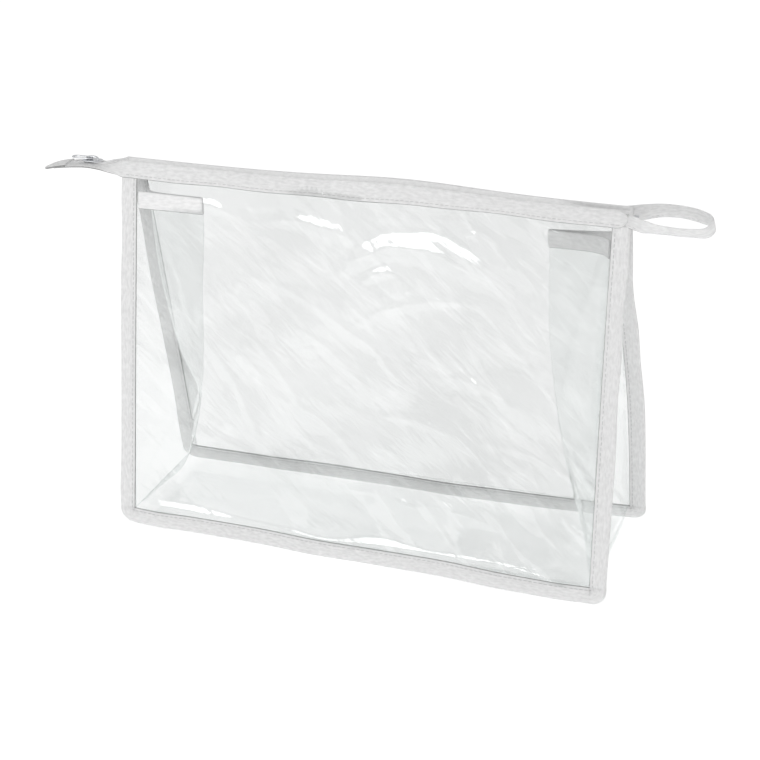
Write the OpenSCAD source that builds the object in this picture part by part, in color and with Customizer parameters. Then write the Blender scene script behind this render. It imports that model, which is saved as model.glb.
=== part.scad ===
// Clear zipped makeup bag: two film walls that lean together under a zip,
// a pleated film gusset round the sides and floor, and fabric tape on every edge.
// X runs along the zip, the front wall faces -Y, and the bag stands on z = 0.

/* [Walls] */
// Clear width of a wall between its side bindings
inner_w = 252; // [160:1:320]
// Clear height of a wall, measured up its slope
inner_h = 176; // [130:1:220]
// Distance between the two walls at the floor
base_d = 91.2; // [70:0.2:120]
// Distance between the two walls at the top edge
top_d = 8.7; // [8:0.1:12]
// Thickness of the clear film
film_t = 0.4; // [0.2:0.1:0.8]

/* [Edge tape] */
// Width of the folded tape round a wall
tape_w = 8.7; // [6:0.1:12]
// Thickness of the folded tape, film included
tape_t = 1.6; // [1:0.1:2.4]
// Radius of a wall's lower corners
corner_r = 5; // [2:0.5:8]
// Height of the band along the top of a wall
band_h = 10.5; // [8:0.5:16]
// Thickness of the band, film included
band_t = 1.8; // [1.2:0.1:2.4]

/* [Gusset] */
// Width of the flat floor that rests on the table
floor_w = 58; // [40:1:66]
// Width of a side gusset at its top edge
gusset_top_w = 73; // [50:1:80]
// Height of the tape that binds a gusset's top edge
bar_h = 9; // [6:0.5:12]
// Distance from that tape up to the band
bar_gap = 6; // [3:0.5:12]

/* [Zip] */
// How far the zip lies below the walls' top edges
zip_depth = 4.4; // [2.4:0.2:6]
// Width of one half of the coil
coil_w = 1.8; // [1.2:0.1:2.2]
// Height of the coil
coil_h = 1.2; // [1:0.1:2]
// Thickness of the zip's own tape
zip_tape_t = 0.5; // [0.3:0.1:0.8]
// Gap between the two halves
zip_gap = 0.6; // [0.4:0.1:1]
// Place of the closed slider along the bag
slider_x = -156; // [-162:1:-150]
// Length of the slider
slider_l = 11; // [9:0.5:12]
// Width of the slider
slider_w = 6.8; // [6:0.1:7.4]
// Length of the puller from its bar
puller_l = 12; // [10:1:24]

/* [Loops] */
// How far the left loop reaches past the bag's side
left_reach = 49; // [44:1:60]
// Width of the flattened left loop
left_w = 11.2; // [9:0.2:14]
// How far the right loop reaches past the bag's side
right_reach = 37; // [30:1:50]
// Half the width of the right loop at its fullest
right_belly = 11; // [8:0.5:15]
// Height of the right loop's tape
loop_h = 9.3; // [7:0.1:12]

/* [Hidden] */
$fn = 48;
film = [0.86, 0.92, 0.91, 0.35];
tape = [0.93, 0.93, 0.93];
metal = [0.75, 0.76, 0.78];
least_pleat = 1;                                // depth that the pleat keeps where it dies out at the floor
foot_y = base_d / 2;
wall_len = tape_w + inner_h + band_h;
lean = asin((base_d - top_d) / 2 / wall_len);
outer_w = inner_w + 2 * tape_w + 0.6;
floor_lift = 0.25;                              // lower edge of the tape above the wall's foot line
band_z0 = (tape_w + inner_h) * cos(lean);       // height of the band's lower edge
band_z1 = wall_len * cos(lean);
seam_z = tape_w * cos(lean);                    // height where floor, side and wall are sewn together
bar_z1 = band_z0 - bar_gap;
bar_z0 = bar_z1 - bar_h;
zip_z = band_z1 - zip_depth;                    // underside of the zip's tape
coil_z = zip_z + zip_tape_t;
slider_z0 = zip_z - 1.3;
slider_z1 = coil_z + coil_h + 0.2;              // underside of the slider's upper plate
slider_plate = 0.7;
bar_r = 0.45;
puller_z = slider_z1 + slider_plate + 0.7;
loop_t = 1;
loop_x0 = outer_w / 2 + 0.9;
loop_x1 = outer_w / 2 + right_reach;
loop_root_y = 4.2;
belly_at = 0.55;                                // where along the right loop it is fullest
loop_steps = 24;

// Half the distance between the walls' middle planes at height z
function wall_y(z) = foot_y - z * tan(lean);

// Half the distance that the gusset spans at height z: the floor's slope, then the walls
function edge_y(z, inset) =
    z < seam_z ? floor_w / 2 + (wall_y(seam_z) - inset - floor_w / 2) * z / seam_z : wall_y(z) - inset;

// Width of the gusset strip at height z
function strip_w(z) = 2 * wall_y(seam_z) + (gusset_top_w - 2 * wall_y(seam_z)) * (z - seam_z) / (bar_z1 - seam_z);

// How far the pleat's crease lies inside the bag's side at height z
function crease_x(z) = z <= seam_z ? 0 : sqrt(pow(strip_w(z) / 2, 2) - pow(wall_y(z), 2));

// One level of a pleated side: a vee of two straight legs with thickness t, on the left side
function vee(z, t, inset) =
    let (x0 = -inner_w / 2 + 0.5, y0 = edge_y(z, inset),
        c = max(crease_x(z), least_pleat), g = sqrt(c * c + y0 * y0),
        nx = y0 / g * t / 2, ny = c / g * t / 2, tip = t / 2 * g / y0)
    [[x0 - nx, -y0 + ny, z], [x0 + c - tip, 0, z], [x0 - nx, y0 - ny, z],
        [x0 + nx, y0 + ny, z], [x0 + c + tip, 0, z], [x0 + nx, -y0 - ny, z]];

// A closed skin through a stack of levels of six points each
module vee_skin(levels, t, inset) {
    rows = len(levels);
    points = [for (z = levels) each vee(z, t, inset)];
    sides = [for (r = [0 : rows - 2]) for (i = [0 : 5])
        let (j = (i + 1) % 6) each [
            [r * 6 + i, (r + 1) * 6 + j, (r + 1) * 6 + i],
            [r * 6 + i, r * 6 + j, (r + 1) * 6 + j]]];
    last = (rows - 1) * 6;
    ends = [[0, 4, 1], [0, 5, 4], [1, 3, 2], [1, 4, 3],
        [last, last + 1, last + 4], [last, last + 4, last + 5],
        [last + 1, last + 2, last + 3], [last + 1, last + 3, last + 4]];
    polyhedron(points, concat(sides, ends));
}

// Stands a flat outline (x, height up the slope) in the front wall, from inside depth n0 outwards
module in_wall(n0, thick) {
    translate([0, -foot_y, 0])
        rotate([90 - lean, 0, 0])
            translate([0, 0, n0])
                linear_extrude(thick)
                    children();
}

module back_of() {
    mirror([0, 1, 0])
        children();
}

module right_of() {
    mirror([1, 0, 0])
        children();
}

// Outline of a wall with rounded lower corners, grown inwards by an inset
module wall_outline(inset, top) {
    half = outer_w / 2 - inset;
    low = floor_lift + inset;
    r = corner_r;
    translate([-half, low + r])
        square([2 * half, top - low - r]);
    translate([-half + r, low])
        square([2 * half - 2 * r, r]);
    for (side = [-1, 1])
        translate([side * (half - r), low + r])
            circle(r);
}

module panel_shape() {
    in_wall(-film_t / 2, film_t)
        wall_outline(0.8, wall_len - 1);
}

module binding_shape() {
    difference() {
        in_wall(-tape_t / 2, tape_t)
            difference() {
                wall_outline(0, tape_w + inner_h);
                translate([-inner_w / 2, tape_w])
                    square([inner_w, inner_h + 1]);
            }
        panel_shape();
    }
}

module band_shape() {
    band_x0 = -outer_w / 2;
    difference() {
        in_wall(-band_t / 2, band_t)
            union() {
                translate([band_x0, tape_w + inner_h])
                    square([outer_w - band_h / 2, band_h]);
                translate([outer_w / 2 - band_h / 2, tape_w + inner_h + band_h / 2])
                    circle(band_h / 2);
            }
        panel_shape();
    }
}

module zip_tape_shape() {
    inner_y = wall_y(zip_z + zip_tape_t / 2) - band_t / 2 / cos(lean) - 0.15;
    translate([-outer_w / 2 + 5, -inner_y, zip_z])
        cube([outer_w - 10, inner_y - zip_gap / 2, zip_tape_t]);
}

module coil_shape() {
    coil_r = coil_w / 2;
    translate([-outer_w / 2 + 5, -zip_gap / 2 - coil_r, coil_z])
        rotate([90, 0, 90])
            linear_extrude(outer_w - 10)
                translate([-coil_r, 0])
                    square([coil_w, coil_h]);
}

module front_panel() {
    color(film)
        panel_shape();
}

module back_panel() {
    color(film)
        back_of()
            panel_shape();
}

// Floor of the gusset strip: it slopes from the wall seams down to a flat middle
module bottom_gusset() {
    seam_y = wall_y(seam_z) - 1.2;
    flat_y = floor_w / 2;
    color(film)
        rotate([90, 0, 90])
            linear_extrude(inner_w - 2.4, center = true)
                polygon([[-seam_y, seam_z], [-flat_y, 0], [flat_y, 0], [seam_y, seam_z],
                    [seam_y - film_t, seam_z + film_t], [flat_y, film_t],
                    [-flat_y, film_t], [-seam_y + film_t, seam_z + film_t]]);
}

module side_gusset() {
    levels = [0.6, seam_z, seam_z + 4, 20, 32, 50, 75, 100, 130, bar_z0 - 0.05];
    color(film)
        vee_skin(levels, film_t, 1.5);
}

module left_gusset() {
    side_gusset();
}

module right_gusset() {
    right_of()
        side_gusset();
}

module front_binding() {
    color(tape)
        binding_shape();
}

module back_binding() {
    color(tape)
        back_of()
            binding_shape();
}

module gusset_bar() {
    color(tape)
        vee_skin([bar_z0, bar_z1], tape_t, 1.5);
}

module left_gusset_binding() {
    gusset_bar();
}

module right_gusset_binding() {
    right_of()
        gusset_bar();
}

module front_band() {
    color(tape)
        band_shape();
}

module back_band() {
    color(tape)
        back_of()
            band_shape();
}

module front_zip_tape() {
    color(tape)
        zip_tape_shape();
}

module back_zip_tape() {
    color(tape)
        back_of()
            zip_tape_shape();
}

module front_coil() {
    color(tape)
        coil_shape();
}

module back_coil() {
    color(tape)
        back_of()
            coil_shape();
}

// Crimped stop that holds the two halves together at the right end
module end_stop() {
    stop_l = 2.4;
    stop_w = 5;
    color(metal)
        translate([outer_w / 2 - 1.5, -stop_w / 2, zip_z])
            cube([stop_l, stop_w, zip_tape_t + coil_h]);
}

// Two plates, a post between the halves at the nose, and a lip down each side
module slider_body() {
    post_w = 1.4;
    post_l = 3;
    lip_t = 0.8;
    lip_z = zip_z + 1.15;
    color(metal)
        union() {
            for (z = [slider_z0, slider_z1])
                translate([slider_x - slider_l / 2, -slider_w / 2, z])
                    cube([slider_l, slider_w, slider_plate]);
            translate([slider_x - slider_l / 2, -post_w / 2, slider_z0])
                cube([post_l, post_w, slider_z1 - slider_z0 + slider_plate]);
            for (y = [-slider_w / 2, slider_w / 2 - lip_t])
                translate([slider_x - slider_l / 2, y, lip_z])
                    cube([slider_l, lip_t, slider_z1 - lip_z]);
        }
}

// Arch that the puller's bar turns in
module slider_bail() {
    bail_l = 8;
    bail_w = 2;
    bail_h = 2.1;
    bail_t = 0.8;
    color(metal)
        translate([slider_x - bail_l / 2, -bail_w / 2, slider_z1 + slider_plate])
            difference() {
                cube([bail_l, bail_w, bail_h]);
                translate([bail_t, -1, -1])
                    cube([bail_l - 2 * bail_t, bail_w + 2, bail_h - bail_t + 1]);
            }
}

// Bar, two arms and a tongue with a hole, lying along the left loop
module puller() {
    arm_in = 1.4;
    arm_out = 2.4;
    ring_l = 5.2;
    thick = 0.7;
    hole_r = 1.1;
    color(metal)
        translate([slider_x, 0, puller_z]) {
            rotate([90, 0, 0])
                cylinder(h = 2 * arm_out, r = bar_r, center = true);
            for (side = [-1, 1])
                translate([-ring_l, side * (arm_in + arm_out) / 2 - (arm_out - arm_in) / 2, -thick / 2])
                    cube([ring_l, arm_out - arm_in, thick]);
            difference() {
                union() {
                    translate([-puller_l + arm_out, -arm_out, -thick / 2])
                        cube([puller_l - arm_out - ring_l, 2 * arm_out, thick]);
                    translate([-puller_l + arm_out, 0, 0])
                        cylinder(h = thick, r = arm_out, center = true);
                }
                translate([-puller_l + arm_out, 0, 0])
                    cylinder(h = 2 * thick, r = hole_r, center = true);
            }
        }
}

// Flat loop: two tape strands beside the zip's tail, joined at the tip
module left_loop() {
    strand_gap = 2.6;
    strand_t = 0.8;
    length = left_reach - 0.6;
    joined = 9;
    tip_r = 3;
    color(tape)
        translate([-outer_w / 2 - left_reach, 0, zip_z])
            difference() {
                linear_extrude(strand_t)
                    union() {
                        translate([tip_r, -left_w / 2])
                            square([length - tip_r, left_w]);
                        translate([0, -left_w / 2 + tip_r])
                            square([tip_r, left_w - 2 * tip_r]);
                        for (side = [-1, 1])
                            translate([tip_r, side * (left_w / 2 - tip_r)])
                                circle(tip_r);
                    }
                translate([joined, -strand_gap / 2, -1])
                    cube([length, strand_gap, strand_t + 2]);
            }
}

// Half width of the right loop's middle line: a smooth rise to the belly, then a quarter ellipse
function loop_y(s) =
    s < belly_at
    ? loop_root_y + (right_belly - loop_root_y) * (1 - cos(180 * s / belly_at)) / 2
    : right_belly * sqrt(max(0, 1 - pow((s - belly_at) / (1 - belly_at), 2)));

// Area inside the loop's middle line moved outwards by grow
module loop_area(grow) {
    length = loop_x1 - loop_x0 - loop_t / 2;
    half = [for (i = [0 : loop_steps])
        let (s = sin(90 * i / loop_steps))
        [loop_x0 + s * (length + grow), loop_y(s) + grow * (1 - pow(s, 6))]];
    mirrored = [for (i = [loop_steps - 1 : -1 : 0]) [half[i][0], -half[i][1]]];
    polygon(concat(half, mirrored));
}

module right_loop() {
    color(tape)
        translate([0, 0, band_z0 + 1])
            linear_extrude(loop_h)
                difference() {
                    loop_area(loop_t / 2);
                    loop_area(-loop_t / 2);
                }
}

front_panel();
back_panel();
bottom_gusset();
left_gusset();
right_gusset();
front_binding();
back_binding();
left_gusset_binding();
right_gusset_binding();
front_band();
back_band();
front_zip_tape();
back_zip_tape();
front_coil();
back_coil();
end_stop();
slider_body();
slider_bail();
puller();
left_loop();
right_loop();
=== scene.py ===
import math

import bpy
import numpy as np
from mathutils import Matrix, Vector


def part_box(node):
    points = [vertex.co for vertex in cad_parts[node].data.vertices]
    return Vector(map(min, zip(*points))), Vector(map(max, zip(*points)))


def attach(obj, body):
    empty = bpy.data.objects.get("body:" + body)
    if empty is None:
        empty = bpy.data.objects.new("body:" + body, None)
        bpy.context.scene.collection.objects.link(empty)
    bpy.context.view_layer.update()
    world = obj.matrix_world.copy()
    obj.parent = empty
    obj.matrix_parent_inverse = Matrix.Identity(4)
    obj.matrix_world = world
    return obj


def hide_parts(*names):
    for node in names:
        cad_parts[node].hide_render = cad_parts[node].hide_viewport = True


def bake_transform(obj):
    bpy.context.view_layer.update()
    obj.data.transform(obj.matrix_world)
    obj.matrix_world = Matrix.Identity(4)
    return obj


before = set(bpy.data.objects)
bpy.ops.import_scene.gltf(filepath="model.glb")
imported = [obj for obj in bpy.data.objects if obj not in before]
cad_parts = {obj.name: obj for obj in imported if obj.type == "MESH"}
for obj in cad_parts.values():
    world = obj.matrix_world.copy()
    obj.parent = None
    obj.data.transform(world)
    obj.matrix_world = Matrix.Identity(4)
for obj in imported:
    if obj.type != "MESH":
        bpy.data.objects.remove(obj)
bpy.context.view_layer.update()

mm = 0.001


# the bag's own frame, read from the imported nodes

def readBag():
    panelLow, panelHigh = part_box("front_panel")
    bindLow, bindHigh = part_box("front_binding")
    bandLow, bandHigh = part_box("front_band")
    barLow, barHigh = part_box("left_gusset_binding")
    lean = math.atan2(panelHigh[1] - panelLow[1], panelHigh[2] - panelLow[2])
    return {
        "lean": lean,
        "footY": -bindLow[1] - 0.8 * mm * math.cos(lean),  # the wall's foot line on the floor
        "halfOut": bindHigh[0],
        "tape": 8.9 * mm,  # width of the folded tape round a wall
        "bandLow": bandLow[2] / math.cos(lean),  # up the slope
        "bandHigh": bandHigh[2] / math.cos(lean),
        "barLow": barLow[2],
        "barHigh": barHigh[2],
    }


bag = readBag()
bag["halfIn"] = bag["halfOut"] - bag["tape"]
bag["seamZ"] = bag["tape"] * math.cos(bag["lean"])
bag["barLow"] += 2 * mm  # the gussets' tape has ridden up a little under the band
bag["barHigh"] += 2 * mm

# how the soft bag has settled: it leans a little to the left and stands wider at its right end
settled = {"shearFront": 3.1 * mm, "shearBack": 1.3 * mm, "shearTop": -1.6 * mm, "spread": 2.85 * mm}


def settle(points):
    # x moves by a shear that runs from the floor's value to the top's; y grows with x, as a twist
    out = np.array(points, float)
    x, y, z = points[..., 0], points[..., 1], points[..., 2]
    high = np.clip(z / 0.18, 0, 1)
    across = np.clip(y / 0.0438, -1.1, 1.1)
    mean = (settled["shearFront"] + settled["shearBack"]) / 2
    half = (settled["shearBack"] - settled["shearFront"]) / 2
    out[..., 0] += (mean + half * across) * (1 - high) + settled["shearTop"] * high
    out[..., 1] += settled["spread"] * np.clip(x / bag["halfIn"], -1.1, 1.1) * across
    return out


def smooth(t):
    t = np.clip(t, 0, 1)
    return t * t * (3 - 2 * t)


def hump(t):
    return np.exp(-t * t)


def wallY(z):
    # half the distance between the two walls at height z
    return bag["footY"] - z * math.tan(bag["lean"])


def edgeWave(side, x):
    # slow waves of a wall's bottom edge, outwards; the back one also bows in towards the middle
    k = side * 1.7
    waves = 1.3 * np.sin(29 * x + 0.6 + k) + 0.8 * np.sin(61 * x + 2.1 * k) + 0.35 * np.sin(127 * x + k)
    return (waves * (1 if side < 0 else 0.4) - (side > 0) * 2.2 * hump((x - 0.02) / 0.07)) * mm


def crown(x):
    # the closed zip arches up towards the middle of the bag
    return (0.5 + 2.1 * hump((x - 0.018) / 0.042)) * mm


def onWall(side, x, v, n):
    # foot line + v up the slope + n outwards, with the waves fading up the wall
    x, v, n = np.broadcast_arrays(np.asarray(x, float), np.asarray(v, float), np.asarray(n, float))
    low = smooth(1 - v / 0.045)
    inside = smooth((bag["halfOut"] - np.abs(x)) / 0.03)
    out = n + edgeWave(side, x) * low * inside
    middle, corner = (0.5, 0.8) if side < 0 else (0.1, 0.3)  # how far the foot's edge is off the floor
    lift = (middle * (1 + np.sin(47 * x + side)) * inside + corner * (1 - inside)) * mm * smooth(1 - v / 0.03)
    # the back wall's right side leans in a little at the top and bulges lower down
    drift = (hump((v - 0.065) / 0.045) - 2.4 * hump((v - 0.16) / 0.04)) * mm
    drift = drift * smooth((x - 0.08) / 0.05) * (side > 0)
    up = v + lift + crown(x) * smooth((v - 0.09) / 0.09)
    y = side * (bag["footY"] - up * math.sin(bag["lean"]) + out * math.cos(bag["lean"]))
    z = up * math.cos(bag["lean"]) + out * math.sin(bag["lean"])
    return settle(np.stack([x + drift, y, z], -1))


# meshes from grids

def gridQuads(rows, cols, wrapRows=False, wrapCols=False):
    # corners of each cell, counted along whole rows and columns at once
    r = np.arange(rows if wrapRows else rows - 1)
    c = np.arange(cols if wrapCols else cols - 1)
    r0, c0 = np.meshgrid(r, c, indexing="ij")
    r1, c1 = (r0 + 1) % rows, (c0 + 1) % cols
    return np.stack([r0 * cols + c0, r0 * cols + c1, r1 * cols + c1, r1 * cols + c0], -1).reshape(-1, 4)


def faceOutwards(mesh):
    # a closed piece turned inside out has a negative volume, the sum of a . (b x c) over its triangles
    mesh.calc_loop_triangles()
    corners = np.zeros(len(mesh.loop_triangles) * 3, np.int32)
    mesh.loop_triangles.foreach_get("vertices", corners)
    points = np.zeros(len(mesh.vertices) * 3, np.float32)
    mesh.vertices.foreach_get("co", points)
    a, b, c = points.astype(float).reshape(-1, 3)[corners].reshape(-1, 3, 3).transpose(1, 0, 2)
    if (a * np.cross(b, c)).sum() < 0:
        mesh.flip_normals()


def makeMesh(name, points, faces, uv=None, closed=False):
    mesh = bpy.data.meshes.new(name)
    mesh.from_pydata(np.asarray(points, float).tolist(), [], faces)
    if uv is not None:
        layer = mesh.uv_layers.new(name="cut")
        loops = np.zeros(len(mesh.loops), np.int32)
        mesh.loops.foreach_get("vertex_index", loops)
        layer.data.foreach_set("uv", np.asarray(uv, np.float32)[loops].ravel())
    mesh.polygons.foreach_set("use_smooth", np.ones(len(mesh.polygons), bool))
    if closed:
        faceOutwards(mesh)
    mesh.update()
    piece = bpy.data.objects.new(name, mesh)
    bpy.context.scene.collection.objects.link(piece)
    return piece


def gridPiece(name, points, uv=None, flip=False):
    # an open sheet
    faces = gridQuads(*points.shape[:2])
    if flip:
        faces = faces[:, ::-1]
    return makeMesh(name, points.reshape(-1, 3), faces.tolist(), None if uv is None else uv.reshape(-1, 2))


def tubePiece(name, rings, uv=None):
    # closed rings carried along a path, with a fan of faces over each end ring
    rows, cols = rings.shape[:2]
    points = np.vstack([rings.reshape(-1, 3), rings[0].mean(0), rings[-1].mean(0)])
    k = np.arange(cols)
    after = (k + 1) % cols
    hub = rows * cols + 0 * k
    base = (rows - 1) * cols
    caps = np.vstack([np.stack([hub, after, k], -1), np.stack([hub + 1, base + k, base + after], -1)])
    if uv is not None:
        uv = np.vstack([uv.reshape(-1, 2), uv[0].mean(0), uv[-1].mean(0)])
    faces = gridQuads(rows, cols, False, True).tolist() + caps.tolist()
    return makeMesh(name, points, faces, uv, closed=True)


def ringPiece(name, rings):
    # rings carried round a closed path, which meets its own start
    faces = gridQuads(*rings.shape[:2], True, True)
    return makeMesh(name, rings.reshape(-1, 3), faces.tolist(), closed=True)


def standAt(right, up, back, place):
    # the matrix of an object with these three axes at this place
    return Matrix([[float(axis[k]) for axis in (right, up, back, place)] for k in range(3)] + [[0, 0, 0, 1]])


def thicken(piece, amount):
    solid = piece.modifiers.new("thickness", "SOLIDIFY")
    solid.thickness = amount
    solid.offset = 0
    return piece


# materials

def newMaterial(name):
    material = bpy.data.materials.new(name)
    material.use_nodes = True
    tree = material.node_tree
    tree.nodes.clear()
    out = tree.nodes.new("ShaderNodeOutputMaterial")
    shader = tree.nodes.new("ShaderNodeBsdfPrincipled")
    tree.links.new(shader.outputs[0], out.inputs[0])
    return material, tree, shader, out


tapeCut = 20 * mm  # the binding is cut this wide and folded in half round an edge

film = {"gloss": 0.06, "faceOn": 0.045, "haze": 0.03, "thick": 0.3 * mm,
        "wall": ((0.947, 0.949, 0.9485, 1), (0.914, 0.917, 0.916, 1)),
        "left": ((0.972, 0.974, 0.9735, 1), (0.957, 0.959, 0.9585, 1)),
        # the right end of the same strip is tinted clearer than the left: painted light that makes up for the
        # shade on the right gusset's tape behind the film
        "right": ((0.988, 0.990, 0.9895, 1), (0.974, 0.977, 0.976, 1)),
        # paintedGlints: how much lighter the film's tint is painted within the wrinkle strokes, as painted
        # highlight
        "wrinkle": 0.5, "wrinkleHeight": 0.5 * mm, "paintedGlints": 0.5}


def filmMaterial(name, tints):
    # clear vinyl: tinted light passes straight through, and a share set by the angle is reflected
    material, tree, shader, out = newMaterial(name)
    node, link = tree.nodes.new, tree.links.new
    shader.inputs["Base Color"].default_value = (0.95, 0.97, 0.965, 1)
    shader.inputs["Metallic"].default_value = 1
    shader.inputs["Roughness"].default_value = film["gloss"]
    through = node("ShaderNodeBsdfTransparent")
    place = node("ShaderNodeTexCoord")
    cloud = node("ShaderNodeTexNoise")  # slow changes of the film's clearness
    cloud.inputs["Scale"].default_value = 13
    cloud.inputs["Detail"].default_value = 3
    parts = node("ShaderNodeSeparateXYZ")
    across = node("ShaderNodeMapRange")  # painted shade: the film's tint is made a little greyer towards the right end
    across.inputs["From Min"].default_value = -0.10
    across.inputs["From Max"].default_value = 0.14
    across.inputs["To Min"].default_value = -0.12
    across.inputs["To Max"].default_value = 0.12
    # the cloud's slow changes of clearness plus the painted shade towards the right end
    cloudAndRightShade = node("ShaderNodeMath")
    cloudAndRightShade.operation = "ADD"
    clear = node("ShaderNodeMapRange")
    clear.inputs["From Min"].default_value = 0.3
    clear.inputs["From Max"].default_value = 0.75
    tint = node("ShaderNodeMix")
    tint.data_type = "RGBA"
    tint.inputs["A"].default_value = tints[0]
    tint.inputs["B"].default_value = tints[1]
    link(place.outputs["Object"], cloud.inputs["Vector"])
    link(place.outputs["Object"], parts.inputs[0])
    link(parts.outputs["X"], across.inputs[0])
    slant = node("ShaderNodeMapping")  # short strokes that run down to the right, as wrinkled film shows; they bump the normal, and as painted highlights they also make the film's tint lighter
    slant.vector_type = "TEXTURE"
    slant.inputs["Rotation"].default_value = (0, math.radians(40), 0)
    slant.inputs["Scale"].default_value = (36 * mm, 16 * mm, 8 * mm)
    strokes = node("ShaderNodeTexNoise")
    strokes.inputs["Scale"].default_value = 1
    strokes.inputs["Detail"].default_value = 3
    strokes.inputs["Distortion"].default_value = 0.7
    paintedGlintMask = node("ShaderNodeMapRange")  # painted highlights: within crisp stroke outlines the film's tint is made lighter, standing in for the light the wrinkles catch
    paintedGlintMask.inputs["From Min"].default_value = 0.54
    paintedGlintMask.inputs["From Max"].default_value = 0.6
    paintedGlintMask.inputs["To Max"].default_value = -film["paintedGlints"]
    clearnessWithGlints = node("ShaderNodeMath")
    clearnessWithGlints.operation = "ADD"
    wrinkles = node("ShaderNodeBump")
    wrinkles.inputs["Strength"].default_value = film["wrinkle"]
    wrinkles.inputs["Distance"].default_value = film["wrinkleHeight"]
    link(place.outputs["Object"], slant.inputs[0])
    link(slant.outputs[0], strokes.inputs["Vector"])
    link(strokes.outputs[0], paintedGlintMask.inputs[0])
    link(strokes.outputs[0], wrinkles.inputs["Height"])
    link(wrinkles.outputs[0], shader.inputs["Normal"])
    link(cloud.outputs[0], cloudAndRightShade.inputs[0])
    link(across.outputs[0], cloudAndRightShade.inputs[1])
    link(cloudAndRightShade.outputs[0], clearnessWithGlints.inputs[0])
    link(paintedGlintMask.outputs[0], clearnessWithGlints.inputs[1])
    link(clearnessWithGlints.outputs[0], clear.inputs[0])
    link(clear.outputs[0], tint.inputs["Factor"])
    link(tint.outputs["Result"], through.inputs[0])
    facing = node("ShaderNodeLayerWeight")
    facing.inputs["Blend"].default_value = 0.5
    # reflected share, on both faces alike: faceOn + (1 - faceOn) * (1 - cos)^5
    power = node("ShaderNodeMath")
    power.operation = "POWER"
    power.inputs[1].default_value = 5
    fresnel = node("ShaderNodeMapRange")
    fresnel.inputs["To Min"].default_value = film["faceOn"]
    link(facing.outputs["Facing"], power.inputs[0])
    link(power.outputs[0], fresnel.inputs[0])
    streaks = node("ShaderNodeMapping")
    streaks.vector_type = "TEXTURE"
    streaks.inputs["Rotation"].default_value = (0, math.radians(44), 0)
    streaks.inputs["Scale"].default_value = (70 * mm, 70 * mm, 14 * mm)
    noise = node("ShaderNodeTexNoise")
    noise.inputs["Scale"].default_value = 1
    noise.inputs["Detail"].default_value = 4
    ramp = node("ShaderNodeMapRange")
    ramp.inputs["From Min"].default_value = 0.45
    ramp.inputs["From Max"].default_value = 0.8
    ramp.inputs["To Max"].default_value = film["haze"]
    share = node("ShaderNodeMath")
    share.operation = "ADD"
    share.use_clamp = True
    mix = node("ShaderNodeMixShader")
    link(place.outputs["Object"], streaks.inputs[0])
    link(streaks.outputs[0], noise.inputs["Vector"])
    link(noise.outputs[0], ramp.inputs[0])
    link(fresnel.outputs[0], share.inputs[0])
    link(ramp.outputs[0], share.inputs[1])
    link(share.outputs[0], mix.inputs[0])
    link(through.outputs[0], mix.inputs[1])
    link(shader.outputs[0], mix.inputs[2])
    link(mix.outputs[0], out.inputs[0])
    return material


def clothMaterial(name, look):
    # woven tape: two crossed ribs in the cloth's own UV, mottled colour, and a line of painted shade at the
    # lips, where the tape's edge meets the film
    material, tree, shader, out = newMaterial(name)
    node, link = tree.nodes.new, tree.links.new
    shader.inputs["Roughness"].default_value = look["rough"]
    shader.inputs["Specular IOR Level"].default_value = 0.25
    shader.inputs["Sheen Weight"].default_value = look["sheen"]
    uv = node("ShaderNodeUVMap")
    uv.uv_map = "cut"
    heights = []
    for direction in ("X", "Y"):
        wave = node("ShaderNodeTexWave")
        wave.bands_direction = direction
        wave.inputs["Scale"].default_value = 2 * math.pi / 20 / look["pitch"]
        wave.inputs["Distortion"].default_value = 1.5
        wave.inputs["Detail"].default_value = 1
        wave.inputs["Detail Scale"].default_value = 3
        link(uv.outputs[0], wave.inputs["Vector"])
        heights.append(wave)
    weave = node("ShaderNodeMath")
    weave.operation = "MAXIMUM"
    link(heights[0].outputs["Fac"], weave.inputs[0])
    link(heights[1].outputs["Fac"], weave.inputs[1])
    slubs = node("ShaderNodeMapping")  # stretched noise: thick and thin places in the yarns
    slubs.inputs["Scale"].default_value = (look["slub"], look["slub"] * 1.3, 1)
    yarn = node("ShaderNodeTexNoise")
    yarn.inputs["Scale"].default_value = 1
    yarn.inputs["Detail"].default_value = 4
    link(uv.outputs[0], slubs.inputs[0])
    link(slubs.outputs[0], yarn.inputs["Vector"])
    relief = node("ShaderNodeMath")
    relief.operation = "MULTIPLY_ADD"
    relief.inputs[1].default_value = 2.2
    link(yarn.outputs[0], relief.inputs[0])
    link(weave.outputs[0], relief.inputs[2])
    bump = node("ShaderNodeBump")
    bump.inputs["Strength"].default_value = look["bump"]
    bump.inputs["Distance"].default_value = 0.14 * mm
    link(relief.outputs[0], bump.inputs["Height"])
    link(bump.outputs[0], shader.inputs["Normal"])
    spread = node("ShaderNodeMapRange")
    spread.inputs["From Min"].default_value = 0.33
    spread.inputs["From Max"].default_value = 0.67
    link(yarn.outputs[0], spread.inputs[0])
    mixed = node("ShaderNodeMix")
    mixed.data_type = "RGBA"
    mixed.inputs["A"].default_value = (*look["dark"], 1)
    mixed.inputs["B"].default_value = (*look["light"], 1)
    link(spread.outputs[0], mixed.inputs["Factor"])
    parts = node("ShaderNodeSeparateXYZ")
    link(uv.outputs[0], parts.inputs[0])
    # painted shade: the colour is darkened along the lips, standing in for the shadow of the tape's edge on
    # the film
    lipShade = node("ShaderNodeMapRange")
    lipShade.inputs["From Min"].default_value = tapeCut * 0.955
    lipShade.inputs["From Max"].default_value = tapeCut * 0.975
    link(parts.outputs["Y"], lipShade.inputs[0])
    line = node("ShaderNodeMix")
    line.data_type = "RGBA"
    line.blend_type = "MULTIPLY"
    line.inputs["B"].default_value = (look["lipShade"], look["lipShade"], look["lipShade"], 1)
    link(lipShade.outputs[0], line.inputs["Factor"])
    link(mixed.outputs["Result"], line.inputs["A"])
    link(line.outputs["Result"], shader.inputs["Base Color"])
    return material


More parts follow.
